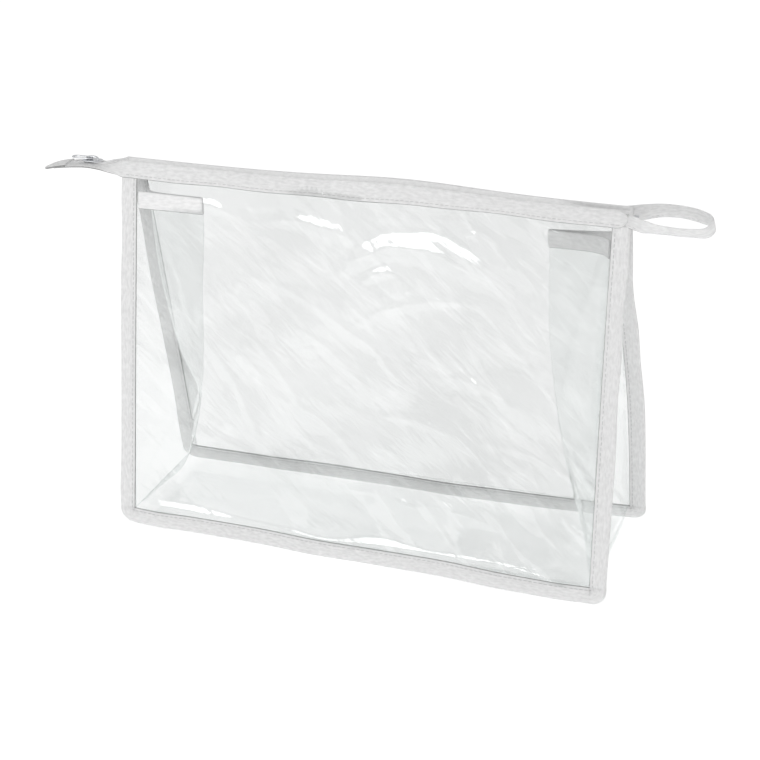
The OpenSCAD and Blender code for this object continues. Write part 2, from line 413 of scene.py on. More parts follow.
def plainMaterial(name, look):
    # moulded or cast surface: fine noise moves the colour, the gloss and the normal a little
    material, tree, shader, out = newMaterial(name)
    node, link = tree.nodes.new, tree.links.new
    shader.inputs["Metallic"].default_value = look["metal"]
    place = node("ShaderNodeTexCoord")
    noise = node("ShaderNodeTexNoise")
    noise.inputs["Scale"].default_value = look["scale"]
    noise.inputs["Detail"].default_value = 6
    link(place.outputs["Object"], noise.inputs["Vector"])
    gloss = node("ShaderNodeMapRange")
    gloss.inputs["To Min"].default_value = look["rough"][0]
    gloss.inputs["To Max"].default_value = look["rough"][1]
    link(noise.outputs[0], gloss.inputs[0])
    link(gloss.outputs[0], shader.inputs["Roughness"])
    mixed = node("ShaderNodeMix")
    mixed.data_type = "RGBA"
    mixed.inputs["A"].default_value = (*look["dark"], 1)
    mixed.inputs["B"].default_value = (*look["light"], 1)
    link(noise.outputs[0], mixed.inputs["Factor"])
    link(mixed.outputs["Result"], shader.inputs["Base Color"])
    bump = node("ShaderNodeBump")
    bump.inputs["Strength"].default_value = look["bump"]
    bump.inputs["Distance"].default_value = 0.05 * mm
    link(noise.outputs[0], bump.inputs["Height"])
    link(bump.outputs[0], shader.inputs["Normal"])
    return material


finishes = {
    "film": filmMaterial("wallFilm", film["wall"]),
    "leftFilm": filmMaterial("leftFilm", film["left"]),
    "rightFilm": filmMaterial("rightFilm", film["right"]),
    "edge_tape": clothMaterial("bindingCloth", {
        "rough": 0.85, "sheen": 0.1, "pitch": 0.5 * mm, "bump": 0.8, "slub": 300, "lipShade": 0.4,
        "dark": (0.79, 0.79, 0.79), "light": (0.92, 0.92, 0.92)}),
    # painted light: the same tape as the binding, coloured lighter to make up for the shade on the gusset
    # tape inside the bag
    "gussetTapeLightened": clothMaterial("gussetClothLightened", {
        "rough": 0.85, "sheen": 0.1, "pitch": 0.5 * mm, "bump": 0.6, "slub": 300, "lipShade": 0.4,
        "dark": (0.83, 0.83, 0.83), "light": (0.94, 0.94, 0.94)}),
    # partly the zip cloth's own white, partly painted light: it is coloured lighter than the binding to make
    # up for the shade in the valley between the two bands
    "zip_tape": clothMaterial("zipClothLightened", {
        "rough": 0.8, "sheen": 0.1, "pitch": 0.6 * mm, "bump": 0.7, "slub": 420, "lipShade": 1,
        "dark": (0.86, 0.86, 0.86), "light": (0.95, 0.95, 0.95)}),
    "coil": plainMaterial("nylonCoil", {
        "metal": 0, "scale": 900, "rough": (0.3, 0.45), "bump": 0.2,
        "dark": (0.78, 0.78, 0.78), "light": (0.9, 0.9, 0.9)}),
    "thread": plainMaterial("sewingThread", {
        "metal": 0, "scale": 2600, "rough": (0.5, 0.7), "bump": 0.6,
        "dark": (0.5, 0.5, 0.5), "light": (0.68, 0.68, 0.68)}),
    "metal": plainMaterial("platedZinc", {
        "metal": 1, "scale": 700, "rough": (0.22, 0.36), "bump": 0.15,
        "dark": (0.62, 0.63, 0.65), "light": (0.82, 0.83, 0.85)}),
}
print("stage: materials ready")


def finish(piece, slotName, nodes=(), look=None):
    piece.data.materials.append(finishes[look or slotName])
    if nodes:
        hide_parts(*nodes)
    return piece


def swingsWith(piece):
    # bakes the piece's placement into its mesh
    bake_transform(piece)


# film walls

panel = {"cols": 250, "rows": 178, "sag": 2.0 * mm, "ripple": 0.1 * mm, "roll": 0.215}

# creases of the front wall: x, height up the slope, half length, width above the ridge (mm), angle (degrees)
# and rise (mm)
frontCreases = [
    (32, 164, 21, 9, -7, 1.25), (5, 160, 15, 6.5, 24, 0.95), (8, 150, 8, 3.6, 20, 0.5),
    (-28, 172, 20, 5, -9, 0.7), (-84, 177, 12, 4, -8, 0.5), (69, 135, 14, 2.2, -44, 0.25),
    (93, 111, 20, 2.2, -46, 0.26), (8, 112, 15, 3.6, -39, 0.4), (-7, 102, 21, 2.8, -41, 0.33),
    (63, 102, 12, 3.6, -11, 0.36), (56, 162, 24, 4, -29, 0.36), (57, 175, 5, 2.6, -20, 0.3),
    (15, 38, 21, 4.5, -5, 0.5), (54, 36, 24, 5, -5, 0.6), (-15, 69, 20, 3.4, -33, 0.36),
    (42, 77, 19, 3.2, -15, 0.34), (-46, 97, 22, 3.2, -49, 0.32), (-67, 82, 25, 3.6, -58, 0.36),
    (115, 128, 8, 2.4, -59, 0.25), (97, 69, 17, 3, -19, 0.34), (-60, 48, 30, 4, -24, 0.36),
    (-98, 128, 24, 3.6, -75, 0.33), (-20, 128, 28, 3, -30, 0.26), (30, 138, 26, 3, 14, 0.26),
]
backCreases = [(-x * 0.9 + 6, v * 0.9 - 6, l, w, 180 - a, 0.45 * r) for x, v, l, w, a, r in frontCreases]


def ridge(t):
    # a crisp fold: a soft rise below it (t < 0) and an even slope above it, from 1 at t = 0 to 0 at t = 1
    above = 0.5 * (1 - t + np.sqrt((1 - t) ** 2 + 0.004))
    peak = 1 / (1 + np.exp(np.clip(-t / 0.07, -60, 60)))
    return hump(np.minimum(t, 0) / 0.55) * (1 - peak) + above * peak


def creased(x, v, creases):
    # each crease bows a little along its length, wanders, and dies out at both ends
    total = np.zeros(np.broadcast(x, v).shape)
    for cx, cv, length, width, angle, rise in creases:
        a = math.radians(angle)
        dx, dv = x - cx * mm, v - cv * mm
        along = (dx * math.cos(a) + dv * math.sin(a)) / (length * mm)
        wander = 0.07 * width * mm * np.sin(4.5 * along + cx) + 0.012 * width * mm * np.sin(17 * along + cv)
        bend = 0.12 * length * mm * along ** 2
        across = (-dx * math.sin(a) + dv * math.cos(a) - wander + bend) / (width * mm)
        total = total + rise * mm * hump(along) * ridge(across)
    return total


def filmLie(side, x, v):
    # sag of a whole wall, its creases, a fine ripple and a roll above the foot, all fading out at the tape
    creases = frontCreases if side < 0 else backCreases
    top = bag["bandLow"]
    inX = smooth((bag["halfIn"] - np.abs(x)) / 0.02)
    inV = smooth((v - bag["tape"]) / 0.012) * smooth((top - v) / 0.012)
    u = x / bag["halfIn"]
    h = (v - bag["tape"]) / (top - bag["tape"])
    sag = -panel["sag"] * np.cos(u * math.pi / 2) * np.sin(np.clip(h, 0, 1) * math.pi)
    wave = panel["ripple"] * (np.sin(95 * x + 60 * v + 2 * np.sin(70 * v)) + np.sin(160 * v - 75 * x + side))
    rollAt = bag["tape"] + (2.2 + 1.3 * np.sin(41 * x + side) + 0.7 * np.sin(97 * x)) * mm
    deep = (2.6 + 1.4 * np.sin(57 * x + 1) + 0.7 * np.sin(133 * x)) * mm  # above the roll the slope is even
    roll = panel["roll"] * deep * ridge((v - rollAt) / deep)
    return ((sag + creased(x, v, creases) + wave) * inV + roll) * inX


def filmWall(side):
    inset = 1.2 * mm
    half = bag["halfOut"] - inset
    x = np.linspace(-half, half, panel["cols"])
    top = bag["bandHigh"] - 1.5 * mm
    v = inset + (top - inset) * np.linspace(0, 1, panel["rows"]) ** 1.25  # rows lie closer near the foot
    vv, xx = np.meshgrid(v, x, indexing="ij")
    corner = 7 * mm  # the lower corners are cut round, as the tape over them is
    lowest = np.maximum(0, np.abs(xx) - (half - corner))
    cut = inset + corner - np.sqrt(np.maximum(corner ** 2 - lowest ** 2, 0))
    vv = np.maximum(vv, cut)
    points = onWall(side, xx, vv, filmLie(side, xx, vv))
    name = "frontPanel" if side < 0 else "backPanel"
    piece = gridPiece(name, points, np.stack([xx, vv], -1), flip=side > 0)
    thicken(piece, film["thick"])
    finish(piece, "film", ["front_panel" if side < 0 else "back_panel"])
    swingsWith(piece)
    return piece


for side in (-1, 1):
    filmWall(side)
print("stage: film walls")

# the gusset strip

gusset = {"rows": 90, "cols": 30, "topWidth": 73 * mm, "rest": 0.62, "apart": 0.8 * mm}

# how each pleat lies at its top: where its crease is (y), how squarely the legs leave the front and back
# seams, and how far the crease reaches at the top and below it, as a share of the plain fold
pleats = {
    -1: {"creaseY": -7.2 * mm, "front": 1.5, "back": 9, "top": 1.07, "below": 0.98},
    1: {"creaseY": 0.4 * mm, "front": 8, "back": 1.6, "top": 0.95, "below": 1.0},
}


def stripHalf(z):
    # half the width of the film strip: full at the floor, narrower at the top
    low, high = wallY(bag["seamZ"]), gusset["topWidth"] / 2
    return low + (high - low) * np.clip((z - bag["seamZ"]) / (bag["barHigh"] - bag["seamZ"]), 0, 1)


def pleatDepth(end, z):
    # the strip is wider than the gap between the walls, so its middle folds inwards by Pythagoras
    lie = pleats[end]
    plain = np.sqrt(np.maximum(stripHalf(z) ** 2 - np.minimum(wallY(z), stripHalf(z)) ** 2, 1e-9))
    return plain * (lie["below"] + (lie["top"] - lie["below"]) * smooth((z - 0.115) / 0.05))


def pleat(end, z, t, bow=1.0):
    # t runs from the front seam (0) over the crease (0.5) to the back seam (1); end is -1 left, +1 right
    z, t = np.broadcast_arrays(np.asarray(z, float), np.asarray(t, float))
    lie = pleats[end]
    flat = smooth((z - 0.05) / 0.11)
    leg = 1 - np.abs(2 * t - 1)  # 0 at a seam, 1 at the crease
    soft = leg - 0.03 * hump((1 - leg) / 0.05)
    half = np.where(t < 0.5, -1.0, 1.0)
    power = 1 + (np.where(t < 0.5, lie["front"], lie["back"]) - 1) * flat
    middle = lie["creaseY"] * flat + half * gusset["apart"] * np.tanh((1 - leg) / 0.02)
    y = half * wallY(z) + (middle - half * wallY(z)) * (1 - (1 - leg) ** power)
    x = end * (bag["halfIn"] - pleatDepth(end, z) * soft)
    puff = np.sin(math.pi * leg) * (1.6 * mm * np.sin(38 * z + 1.3 * end) + 0.7 * mm * np.sin(95 * z + 4 * t))
    folds = sum(rise * hump((leg * 60 * mm - slope * (z - bag["seamZ"])) / (2.6 * mm)) * hump(z / 0.06)
                for slope, rise in ((0.9, 1.3 * mm), (2.2, 0.9 * mm))) * smooth(leg / 0.15)
    puff = puff * smooth((z - 0.012) / 0.03) * (1 - 0.7 * flat)
    x = x - end * bow * (puff + folds * smooth((z - bag["seamZ"]) / 0.01))
    return np.stack([x, y, z], -1)


def gussetSide(end, half):
    # half is -1 for the front leg, +1 for the back leg, 0 for both legs in one piece
    tall = bag["barHigh"] - 1 * mm - bag["seamZ"]
    z = bag["seamZ"] + 0.5 * mm + tall * np.linspace(0, 1, gusset["rows"]) ** 1.3
    span = {-1: (0, 0.5), 1: (0.5, 1), 0: (0, 1)}[half]
    t = np.linspace(*span, gusset["cols"] * (1 if half else 2))
    zz, tt = np.meshgrid(z, t, indexing="ij")
    if half:
        tt = np.clip(tt, 1e-6, 1 - 1e-6) - 1e-7 * half
    flat = pleat(end, zz, tt)
    name = {-1: "leftGussetFront", 1: "leftGussetBack", 0: "rightGusset"}[half]
    widths = np.stack([tt * 2 * stripHalf(zz), zz], -1)
    piece = gridPiece(name, settle(flat), widths, flip=end < 0)
    thicken(piece, film["thick"])
    word = "left" if end < 0 else "right"
    finish(piece, "film", [word + "_gusset"], word + "Film")
    return piece


def pleatBlend(piece):
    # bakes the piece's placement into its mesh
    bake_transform(piece)


for half in (-1, 1):
    pleatBlend(gussetSide(-1, half))
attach(gussetSide(1, 0), "root")


def floorSheet():
    # across: flat in the middle and rising to the seams; along: the ends turn up into the sides
    q = np.linspace(-1, 1, 50)
    off = np.clip((np.abs(q) - gusset["rest"]) / (1 - gusset["rest"]), 0, 1)  # 0 where the film lies flat
    rise = bag["seamZ"] * off ** 1.5 + 0.25 * mm
    top = bag["seamZ"] + 0.6 * mm
    turn = np.linspace(0, 1, 9)
    run = np.linspace(-1, 1, 120)[1:-1]
    qq = np.concatenate([turn * 0, run * 0 + 1, turn * 0])  # which stretch a column is in
    s = np.concatenate([turn, run, turn[::-1]])
    endSign = np.concatenate([-np.ones(9), np.zeros(len(run)), np.ones(9)])
    radius = np.minimum(5 * mm, (top - rise) * 0.98)[None, :] * np.ones((len(s), 1))
    angle = (s * math.pi / 2)[:, None]
    flatX = (s[:, None]) * (bag["halfIn"] - radius)
    x = np.where(qq[:, None] > 0, flatX, endSign[:, None] * (bag["halfIn"] - radius * (1 - np.cos(angle))))
    curveZ = rise[None, :] + radius * (1 - np.sin(angle))
    z = np.where(qq[:, None] > 0, rise[None, :], curveZ)
    wrinkle = 0.7 * mm * np.sin(52 * x + 3 * q[None, :]) * np.sin(math.pi * np.abs(q))[None, :]
    z = z + np.abs(wrinkle * (qq[:, None] > 0))
    y = np.broadcast_to(q[None, :] * wallY(bag["seamZ"]), x.shape)
    points = settle(np.stack([x, y, z], -1))
    lip = points[[0, -1]].copy()
    lip[..., 2] = top
    points = np.concatenate([lip[:1], points, lip[1:]])
    uv = points[..., :2].copy()
    piece = gridPiece("bottomGusset", points, uv, flip=True)
    thicken(piece, film["thick"])
    # the bottom takes the right end's clearer tint, which is painted light
    finish(piece, "film", ["bottom_gusset"], "rightFilm")
    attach(piece, "root")


floorSheet()
print("stage: gusset strip")

# folded edge tape

edging = {"thick": 1.35 * mm, "stitchIn": 1.7 * mm, "pitch": 2.6 * mm, "pucker": 0.22, "across": 22}


def tapeProfile(count, thick):
    # closed outline of a tape folded over an edge: w is 0 at the fold and 1 at the lips, n the half thickness
    t = np.linspace(0, 2 * math.pi, count, endpoint=False)
    w = 0.5 - 0.5 * np.cos(t)
    fold = np.sqrt(np.clip(w / 0.09, 0, 1) * (2 - np.clip(w / 0.09, 0, 1)))
    lip = np.sqrt(np.clip((1 - w) / 0.05, 0, 1))
    body = 0.62 + 0.38 * np.sin(math.pi * np.clip(w, 0, 1)) ** 0.7
    n = np.sign(np.sin(t) + 1e-9) * thick / 2 * fold * (0.35 + 0.65 * lip) * body
    n[np.abs(np.sin(t)) < 1e-9] = 0
    return w, n


def stitchGroove(w, width):
    # the thread pulls the tape in along one line near its lips
    return 1 - 0.35 * hump((w * width - (width - edging["stitchIn"])) / (0.5 * mm))


def puffs(s, w, width):
    # between stitches the cloth puffs up, most between the thread and the fold, least at the fold
    near = hump((w * width - (width - edging["stitchIn"] - 1.1 * mm)) / (1.5 * mm))
    beat = np.abs(np.sin(math.pi * s / edging["pitch"])) - 0.5
    slow = 0.5 * np.sin(s / (5.3 * mm) + 1.7 * np.sin(s / (23 * mm))) + 0.3 * np.sin(s / (9.7 * mm))
    return 1 + edging["pucker"] * near * beat + 0.20 * slow * np.sin(math.pi * w)


thread = {"long": 1.0 * mm, "thick": 0.17 * mm, "sides": 6}


def stitchRow(name, place, s, w, n, width):
    # a small capsule for each stitch, in the tape's own coordinates: s along, w across, n off its middle
    reach = np.array([-1, -0.85, -0.5, 0.5, 0.85, 1.0]) * thread["long"]
    girth = np.array([0.15, 0.75, 1, 1, 0.75, 0.15]) * thread["thick"]
    a = np.linspace(0, 2 * math.pi, thread["sides"], endpoint=False)
    ss = (s[:, None, None] + reach[None, :, None]) + 0 * a
    ww = w + girth[None, :, None] * np.cos(a) / width + 0 * ss
    nn = np.broadcast_to(np.asarray(n, float).reshape(-1, 1, 1), ss.shape) + girth[None, :, None] * np.sin(a)
    points = place(ss, ww, nn).reshape(-1, 3)
    rows, cols = len(reach), thread["sides"]
    first = np.arange(len(s)) * rows * cols  # number of each stitch's first corner
    walls = (gridQuads(rows, cols, False, True)[None] + first[:, None, None]).reshape(-1, 4)
    starts = first[:, None] + np.arange(cols)[::-1]
    ends = first[:, None] + (rows - 1) * cols + np.arange(cols)
    piece = makeMesh(name, points, walls.tolist() + starts.tolist() + ends.tolist(), closed=True)
    finish(piece, "edge_tape", look="thread")
    return piece


def stitchFaces(name, place, s, w, depth, width):
    # the same thread shows on both faces of a tape
    words = {-1: "StitchesIn", 1: "StitchesOut"}
    return [stitchRow(name + words[face], place, s, w, face * depth, width) for face in (-1, 1)]


def stitchPlaces(length, inset=2 * mm):
    return np.arange(inset, length - inset, edging["pitch"])


def seamDepth(thick, width, s):
    # where the thread lies: its place across the tape, and how far off the middle the puffed face is there
    w, n = tapeProfile(400, thick)
    at = 1 - edging["stitchIn"] / width
    n0 = np.interp(at, w[:200], np.abs(n[:200]))
    return at, n0 * stitchGroove(at, width) * puffs(s, at, width) + 0.06 * mm


def bindingPath(count):
    # outer and inner lines of the U-shaped tape, by length: down the left side, along the foot, up the right
    top = bag["bandLow"] + 3.4 * mm
    out, inn, low, r = bag["halfOut"], bag["halfIn"], 0.25 * mm, 7.5 * mm
    side = top - bag["tape"]
    foot = 2 * inn
    turn = 14 * mm  # length given to each corner
    total = 2 * side + foot + 2 * turn
    s = np.linspace(0, total, count)
    x0, v0 = np.zeros(count), np.zeros(count)
    x1, v1 = np.zeros(count), np.zeros(count)
    half = np.minimum(s, total - s)  # both halves alike
    sign = np.where(s < total / 2, -1.0, 1.0)
    onSide = half < side
    onTurn = (half >= side) & (half < side + turn)
    onFoot = half >= side + turn
    x0[onSide], v0[onSide] = out, (top - half)[onSide]
    x1[onSide], v1[onSide] = inn, (top - half)[onSide]
    k = (half - side)[onTurn] / turn
    straight = bag["tape"] - r
    reach = 2 * straight + r * math.pi / 2
    d = k * reach
    a = np.clip((d - straight) / r, 0, math.pi / 2)
    x0[onTurn] = out - r * (1 - np.cos(a)) - np.maximum(0, d - straight - r * math.pi / 2)
    v0[onTurn] = low + r * (1 - np.sin(a)) + np.maximum(0, straight - d)
    x1[onTurn], v1[onTurn] = inn, bag["tape"]
    rest = (half - side - turn)[onFoot]
    x0[onFoot] = np.minimum(out - bag["tape"], inn) - rest
    v0[onFoot] = low
    x1[onFoot] = inn - rest
    v1[onFoot] = bag["tape"]
    return s, sign * x0, v0, sign * x1, v1, onTurn, half - side


def wallBinding(side):
    count = 900
    s, x0, v0, x1, v1, onTurn, past = bindingPath(count)
    w, n = tapeProfile(edging["across"], edging["thick"])
    width = bag["tape"]
    mix = w[None, :]
    x = x0[:, None] * (1 - mix) + x1[:, None] * mix
    v = v0[:, None] * (1 - mix) + v1[:, None] * mix
    thick = n[None, :] * stitchGroove(mix, width) * puffs(s[:, None], mix, width)
    thick = thick * np.where(onTurn, 1.28, 1.0)[:, None]  # the mitre is folded twice
    mitre = np.where(onTurn, 0.25 * mm * np.sin(np.clip(past / (14 * mm), 0, 1) * 2 * math.pi), 0)[:, None]
    drift = 0.35 * mm * np.sin(s / (17 * mm) + side)[:, None] * (1 - mix)  # the fold wanders a little
    edge = 0.3 * mm * np.sin(s / (11 * mm) + 2 * np.sin(s / (31 * mm)))[:, None] * (1 - mix)
    foot = smooth((bag["tape"] * 1.3 - v) / 3e-3)
    off = thick + mitre * np.sign(n)[None, :] + drift
    rings = onWall(side, x + np.sign(x) * edge * (1 - foot), v + 0 * edge, off)
    uv = np.stack(np.broadcast_arrays(s[:, None], w[None, :] * tapeCut), -1)
    name = "frontBinding" if side < 0 else "backBinding"
    piece = tubePiece(name, rings, uv)
    finish(piece, "edge_tape", ["front_binding" if side < 0 else "back_binding"])
    swingsWith(piece)

    def place(ss, ww, nn):
        xx = np.interp(ss, s, x0) * (1 - ww) + np.interp(ss, s, x1) * ww
        vv = np.interp(ss, s, v0) * (1 - ww) + np.interp(ss, s, v1) * ww
        return onWall(side, xx, vv, nn)

    at = stitchPlaces(s[-1])
    w0, n0 = seamDepth(edging["thick"], width, at)
    n0 = n0 * np.interp(at, s, np.where(onTurn, 1.3, 1.0))
    for row in stitchFaces(name, place, at, w0, n0, width):
        swingsWith(row)


for side in (-1, 1):
    wallBinding(side)
print("stage: edge tape")

# bands along the top

band = {"thick": 1.7 * mm, "left": -0.1352, "right": 0.1335, "across": 26, "lift": 1.7 * mm}


def bandEdges(side, x):
    # lower and upper edge of the band, up the slope; the front one has a rounded right end
    toEnd = np.clip((band["right"] - x) / (6 * mm), 0, 1)
    turn = np.sqrt(np.clip(toEnd * (2 - toEnd), 0.02, 1)) if side < 0 else np.ones_like(x)
    height = bag["bandHigh"] - bag["bandLow"]
    wander = 0.22 * np.sin(x / (8 * mm) + side) + 1.3 * hump((x - 0.05) / 0.05)
    wander = wander - 2.1 * hump((x - 0.018) / 0.042)  # the lower edge doesn't arch up with the zip
    low = bag["bandLow"] + band["lift"] + wander * mm + (1 - turn) * height * 0.45
    high = bag["bandHigh"] - (1 - turn) * height * 0.4 + 0.2 * mm * np.sin(x / (29 * mm) + side)
    return low, high, turn


def bandPoint(side, x, w, n):
    # w runs across the folded tape from the fold at the top (0) to the lips (1); n is how far off its middle
    low, high, turn = bandEdges(side, x)
    bow = 0.5 * mm * np.sin(x / (41 * mm) + side) + 0.3 * mm * np.sin(x / (13 * mm)) * w
    return onWall(side, x, high * (1 - w) + low * w, n * turn ** 0.5 + bow)


def topBand(side):
    # a tape folded over the wall's top edge
    x = np.linspace(band["left"], band["right"], 640)[:, None]
    w, n = tapeProfile(band["across"], band["thick"])
    w, n = w[None, :], n[None, :]
    height = bag["bandHigh"] - bag["bandLow"] - band["lift"]
    s = x - band["left"]
    rings = bandPoint(side, x, w, n * stitchGroove(w, height) * puffs(s, w, height))
    uv = np.stack(np.broadcast_arrays(s, w * tapeCut), -1)
    name = "frontBand" if side < 0 else "backBand"
    piece = tubePiece(name, rings, uv)
    finish(piece, "edge_tape", ["front_band" if side < 0 else "back_band"])
    swingsWith(piece)
    at = stitchPlaces(band["right"] - band["left"], 4 * mm) + band["left"]
    w0, n0 = seamDepth(band["thick"], height, at - band["left"])
    for row in stitchFaces(name, lambda ss, ww, nn: bandPoint(side, ss, ww, nn), at, w0, n0, height):
        swingsWith(row)


for side in (-1, 1):
    topBand(side)
print("stage: bands")

# zip tapes and coils

zipper = {"pitch": 1.25 * mm, "wire": 0.26 * mm, "turn": 14, "sides": 6}
zipper["level"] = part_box("front_zip_tape")[1][2]
zipper["left"], zipper["right"] = -0.1340, 0.1350


def zipTape(side):
    # from the band's top edge the tape dips to the closed zip, whose coil is underneath
    x = np.linspace(zipper["left"], zipper["right"], 240)[:, None]
    k = np.linspace(0, 1, 25)[None, :]  # 0 at the band, 1 at the middle
    edge = bandPoint(side, x + 0 * k, 0.02 + 0 * k, 0 * k)
    # near the closed end the tape lies lower and flatter, so that the slider can run over it
    low = smooth((x - 0.098) / 0.012)
    height = zipper["level"] + (1.5 - 0.52 * low) * mm
    middle = settle(np.stack(np.broadcast_arrays(x, side * 0.28 * mm, height), -1))
    dip = (k ** 1.2 * (1 - low) + (1 - (1 - k) ** 18) * low)[..., None]
    points = edge * (1 - k[..., None]) + middle * k[..., None]
    points[..., 2] = (edge[..., 2] - 0.25 * mm) * (1 - dip[..., 0]) + middle[..., 2] * dip[..., 0]
    points[..., 2] += (0.12 * mm * np.sin(x / (5 * mm) + side) * np.sin(math.pi * k)
                       - 0.25 * mm * hump((k - 0.62) / 0.06)) * (1 - low)
    uv = np.stack(np.broadcast_arrays(x, k * 5 * mm), -1)
    name = "frontZipTape" if side < 0 else "backZipTape"
    piece = gridPiece(name, points, uv, flip=side < 0)
    thicken(piece, 0.4 * mm)
    finish(piece, "zip_tape", ["front_zip_tape" if side < 0 else "back_zip_tape"])
    swingsWith(piece)


def coilRings(side, left, right):
    # a round wire along a flattened helix: y and z go round once for each pitch of x
    turns = (right - left) / zipper["pitch"]
    count = int(turns * zipper["turn"])
    a = np.linspace(0, turns * 2 * math.pi, count) + (math.pi if side > 0 else 0)
    x = left + (right - left) * np.linspace(0, 1, count)
    y = side * (0.95 * mm - 1.05 * mm * np.cos(a))
    path = np.stack([x, y, zipper["level"] + 0.1 * mm + 0.45 * mm * np.sin(a)], -1)
    tangent = np.gradient(path, axis=0)
    tangent /= np.linalg.norm(tangent, axis=1)[:, None]
    radial = np.stack([0 * a, side * -np.cos(a), np.sin(a)], -1)
    radial -= (radial * tangent).sum(1)[:, None] * tangent
    radial /= np.linalg.norm(radial, axis=1)[:, None]
    other = np.cross(tangent, radial)
    b = np.linspace(0, 2 * math.pi, zipper["sides"], endpoint=False)
    rings = (path[:, None] + zipper["wire"] * (np.cos(b)[None, :, None] * radial[:, None]
                                               + np.sin(b)[None, :, None] * other[:, None]))
    return settle(rings)


for side in (-1, 1):
    zipTape(side)
    word = "front" if side < 0 else "back"
    coil = tubePiece(word + "Coil", coilRings(side, zipper["left"], zipper["right"]))
    finish(coil, "coil", [word + "_coil"])
    swingsWith(coil)
print("stage: zip")


# ribbons

def smoothPath(points, count):
    # a smooth curve through given points (Catmull-Rom), resampled to equal steps
    p = np.array(points, float)
    p = np.vstack([2 * p[0] - p[1], p, 2 * p[-1] - p[-2]])
    t = np.linspace(0, len(p) - 3 - 1e-9, 40 * len(p))
    i = t.astype(int)
    f = (t - i)[:, None]
    a, b, c, d = p[i], p[i + 1], p[i + 2], p[i + 3]
    square, cube = 2 * a - 5 * b + 4 * c - d, 3 * b - a - 3 * c + d
    curve = 0.5 * (2 * b + (c - a) * f + square * f ** 2 + cube * f ** 3)
    step = np.r_[0, np.cumsum(np.linalg.norm(np.diff(curve[:, :3], axis=0), axis=1))]
    s = np.linspace(0, step[-1], count)
    return s, np.stack([np.interp(s, step, curve[:, k]) for k in range(curve.shape[1])], -1)


def ribbon(name, rows, thick, count, across=20):
    # rows hold stations (mm): one edge of the tape (x, y, z), the other edge (x, y, z)
    s, line = smoothPath(np.array(rows, float), count)
    first, second = line[:, :3] * mm, line[:, 3:6] * mm
    centre = (first + second) / 2
    tangent = np.gradient(centre, axis=0)
    tangent /= np.linalg.norm(tangent, axis=1)[:, None]
    reach = first - second
    normal = np.cross(tangent, reach / np.linalg.norm(reach, axis=1)[:, None])
    normal /= np.linalg.norm(normal, axis=1)[:, None]
    w, n = tapeProfile(across, 1.0)
    length = np.r_[0, np.cumsum(np.linalg.norm(np.diff(centre, axis=0), axis=1))]
    thickness = np.interp(np.linspace(0, 1, count), np.linspace(0, 1, len(thick)), thick)
    pucker = 1 + 0.16 * np.sin(length / (3.1 * mm))[:, None] * np.sin(math.pi * w)[None, :]
    rings = (first[:, None] + w[None, :, None] * (second - first)[:, None]
             + (n[None, :] * pucker * thickness[:, None])[..., None] * normal[:, None])
    uv = np.stack(np.broadcast_arrays(length[:, None], w[None, :] * tapeCut), -1)
    width = float(np.linalg.norm(reach, axis=1).mean())

    def place(ss, ww, nn):
        lines = (first, second, normal)
        a, b, c = (np.stack([np.interp(ss, length, k[:, i]) for i in range(3)], -1) for k in lines)
        return a * (1 - ww[..., None]) + b * ww[..., None] + c * nn[..., None]

    at = stitchPlaces(length[-1])
    w0, n0 = seamDepth(1.0, width, at)
    pieces = [tubePiece(name, rings, uv)]
    return pieces + stitchFaces(name, place, at, w0, n0 * np.interp(at, length, thickness), width)


def makeRightLoop():
    # from the back band's end outwards, round the tip, and back in between the front band's two layers
    end = np.array([0.1315])
    top = bandPoint(1, end, np.zeros(1), np.zeros(1))[0] / mm
    foot = bandPoint(1, end, np.ones(1), np.zeros(1))[0] / mm

    def inBand(x, w):
        # the strand's end is sewn in between the front band's two layers
        low, high = bag["bandLow"] + band["lift"], bag["bandHigh"] - 1 * mm
        return onWall(-1, np.array([x]), np.array([high * (1 - w) + low * w]), np.zeros(1))[0] / mm

    rows = [
        (*top, *foot), (137, 6.3, 192.0, 137, 9.0, 183.3), (144.5, 8.5, 192.4, 144.5, 12.5, 184.2),
        (153, 8.8, 192.4, 153, 13.0, 184.6), (160, 7.8, 192.2, 160, 11.8, 184.2),
        (166, 4.8, 192.0, 166, 8.8, 184.0),
        (170.6, 0.4, 191.6, 170.8, 5.4, 184.3), (171.6, -3.6, 190.2, 172.2, 2.0, 183.0),
        (168.8, -7.6, 187.8, 169.4, -1.3, 180.9), (163, -10.2, 187.7, 163, -3.9, 181.4),
        (157.5, -12.0, 188.0, 157.5, -5.9, 181.9), (152, -12.4, 188.4, 152, -6.2, 182.1),
        (147, -11.6, 188.6, 147, -5.9, 181.9), (142.5, -9.8, 189.0, 142.5, -5.1, 181.6),
        (138.5, -7.2, 189.0, 138.5, -5.2, 181.4), (*inBand(0.1350, 0.12), *inBand(0.1350, 0.93)),
        (*inBand(0.1326, 0.2), *inBand(0.1326, 0.86)), (*inBand(0.1305, 0.25), *inBand(0.1305, 0.8)),
    ]
    pieces = ribbon("rightLoop", rows, (1.7 * mm,) * 2 + (1.1 * mm,) * 11 + (0.9 * mm,), count=260)
    finish(pieces[0], "edge_tape", ["right_loop"])
    for piece in pieces:
        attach(piece, "root")


makeRightLoop()


